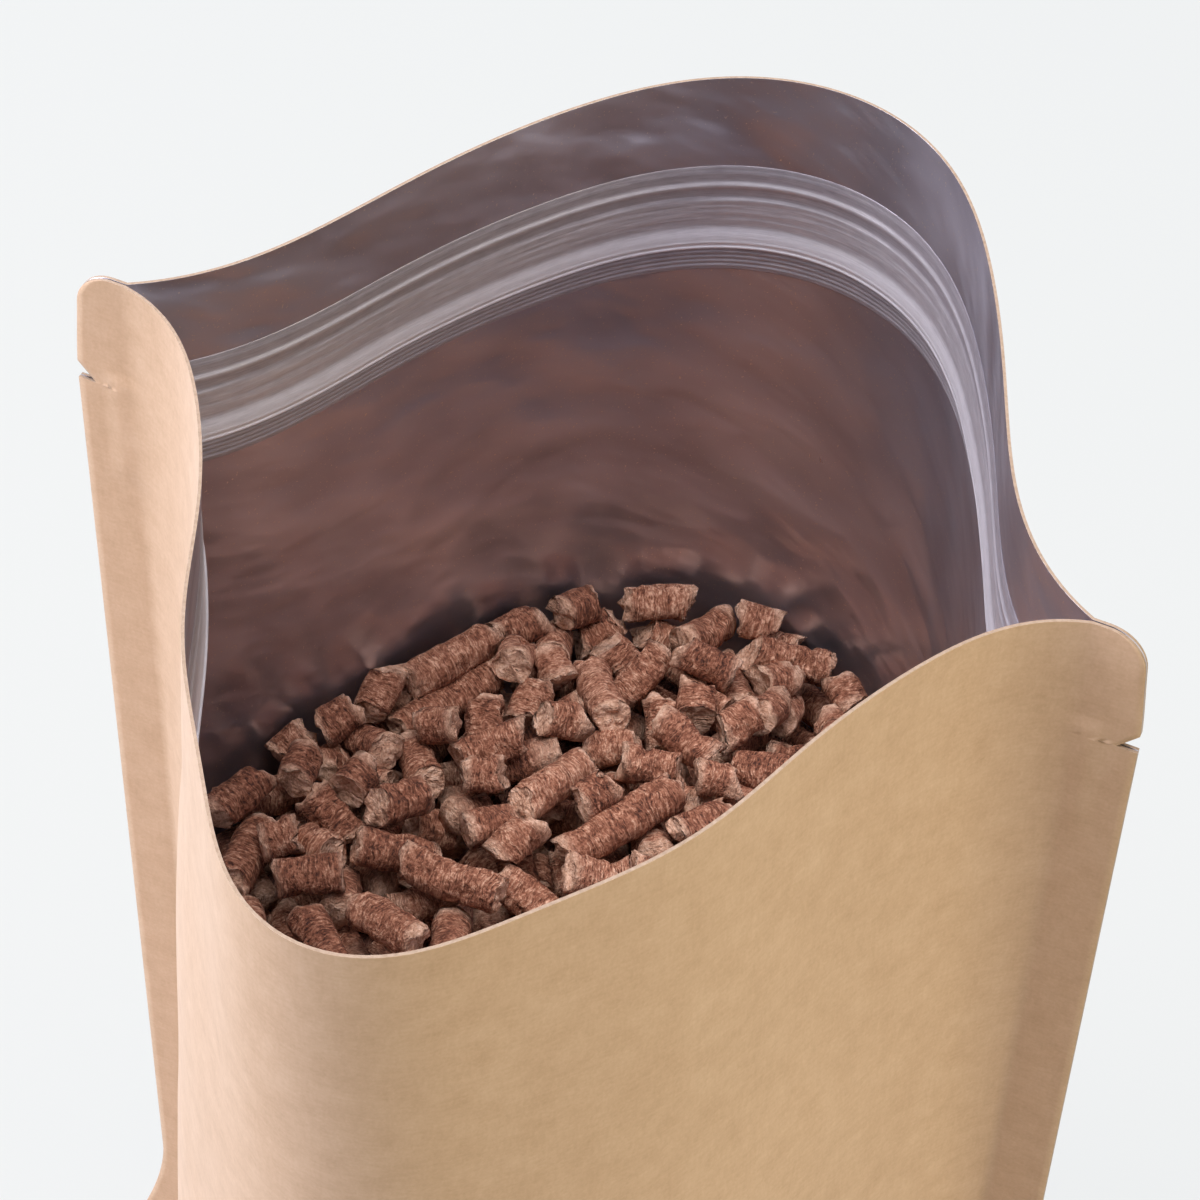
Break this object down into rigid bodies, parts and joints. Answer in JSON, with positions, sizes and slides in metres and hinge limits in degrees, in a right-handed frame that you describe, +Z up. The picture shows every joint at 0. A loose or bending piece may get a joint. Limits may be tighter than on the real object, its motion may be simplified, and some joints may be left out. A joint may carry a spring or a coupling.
{
  "type": "cat litter packaging bag",
  "caption": "Open stand-up pouch of kraft film with side seals, bottom gusset and press-to-close strips, part filled with pressed wood litter pellets.",
  "frame": {"origin": "middle of the foot, on the surface that the pouch stands on", "axes": "+Z up, +X from the left side seal to the right one, +Y from the front panel to the back panel"},
  "size_m": [0.2008, 0.1637, 0.258],
  "materials": {
    "kraft_film": "matt kraft outside, dark satin metallised film inside",
    "clear_strip": "glossy clear polyethylene over the dark inner film",
    "pressed_wood": "rough pressed fibre"
  },
  "bodies": {
    "root": {"front_panel": "kraft_film", "back_panel": "kraft_film", "bottom_gusset": "kraft_film", "zip_strip_front": "clear_strip", "zip_strip_back": "clear_strip", "litter_bed": "pressed_wood", "litter_pellet_01": "pressed_wood", "litter_pellet_02": "pressed_wood", "litter_pellet_03": "pressed_wood", "litter_pellet_04": "pressed_wood", "litter_pellet_05": "pressed_wood", "litter_pellet_06": "pressed_wood", "litter_pellet_07": "pressed_wood", "litter_pellet_08": "pressed_wood", "litter_pellet_09": "pressed_wood", "litter_pellet_10": "pressed_wood", "litter_pellet_11": "pressed_wood", "litter_pellet_12": "pressed_wood", "litter_pellet_13": "pressed_wood", "litter_pellet_14": "pressed_wood", "litter_pellet_15": "pressed_wood", "litter_pellet_16": "pressed_wood", "litter_pellet_17": "pressed_wood", "litter_pellet_18": "pressed_wood", "litter_pellet_19": "pressed_wood", "litter_pellet_20": "pressed_wood", "litter_pellet_21": "pressed_wood", "litter_pellet_22": "pressed_wood", "litter_pellet_23": "pressed_wood", "litter_pellet_24": "pressed_wood", "litter_pellet_25": "pressed_wood", "litter_pellet_26": "pressed_wood", "litter_pellet_27": "pressed_wood", "litter_pellet_28": "pressed_wood", "litter_pellet_29": "pressed_wood", "litter_pellet_30": "pressed_wood", "litter_pellet_31": "pressed_wood", "litter_pellet_32": "pressed_wood", "litter_pellet_33": "pressed_wood", "litter_pellet_34": "pressed_wood", "litter_pellet_35": "pressed_wood", "litter_pellet_36": "pressed_wood", "litter_pellet_37": "pressed_wood", "litter_pellet_38": "pressed_wood", "litter_pellet_39": "pressed_wood", "litter_pellet_40": "pressed_wood", "litter_pellet_41": "pressed_wood", "litter_pellet_42": "pressed_wood", "litter_pellet_43": "pressed_wood", "litter_pellet_44": "pressed_wood", "litter_pellet_45": "pressed_wood", "litter_pellet_46": "pressed_wood", "litter_pellet_47": "pressed_wood", "litter_pellet_48": "pressed_wood", "litter_pellet_49": "pressed_wood", "litter_pellet_50": "pressed_wood", "litter_pellet_51": "pressed_wood", "litter_pellet_52": "pressed_wood", "litter_pellet_53": "pressed_wood", "litter_pellet_54": "pressed_wood"}
  },
  "joints": []
}
